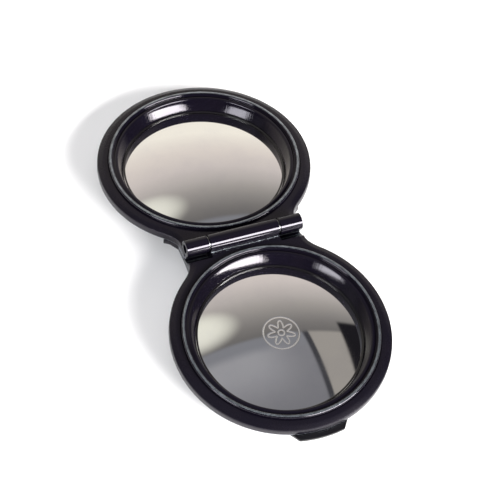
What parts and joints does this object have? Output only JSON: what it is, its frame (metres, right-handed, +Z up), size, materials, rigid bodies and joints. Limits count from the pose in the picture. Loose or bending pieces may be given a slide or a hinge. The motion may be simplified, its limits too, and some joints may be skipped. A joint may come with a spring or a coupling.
{
  "type": "folding pocket mirror",
  "caption": "Black folding pocket mirror: round dished halves with domed metal mirrors, joined by a barrel hinge, standing open.",
  "frame": {"origin": "on the surface the part stands on, under the middle of the hinge", "axes": "X along the hinge axis, -Y towards the lower half, +Y towards the upper half, +Z up"},
  "size_m": [0.07, 0.1446, 0.0183],
  "materials": {
    "black_lacquer": "semi-gloss black lacquer over cast metal, worn bright along the bead",
    "black_shell": "satin moulded black",
    "mirror_steel": "polished steel",
    "black_ring": "gloss black",
    "grey_foam": "soft closed-cell foam",
    "bright_steel": "turned steel",
    "plated_magnet": "nickel plated",
    "spring_bronze": "drawn bronze"
  },
  "bodies": {
    "lower_half": {"lower_frame": "black_lacquer", "lower_mirror_ring": "black_ring", "lower_mirror": "mirror_steel", "lower_mirror_pad": "grey_foam", "lower_back_shell": "black_shell", "lower_catch_magnet": "plated_magnet", "hinge_friction_bush": "spring_bronze", "hinge_washer_left": "bright_steel", "hinge_washer_right": "bright_steel"},
    "upper_half": {"upper_frame": "black_lacquer", "upper_mirror_ring": "black_ring", "upper_mirror": "mirror_steel", "upper_mirror_pad": "grey_foam", "upper_back_shell": "black_shell", "upper_catch_magnet": "plated_magnet", "hinge_pin": "bright_steel"}
  },
  "joints": [
    {"name": "case_hinge", "type": "hinge", "parent": "lower_half", "child": "upper_half", "pos_m": [0, 0, 0.01562], "axis": [1, 0, 0], "range_deg": [0, 190]}
  ]
}
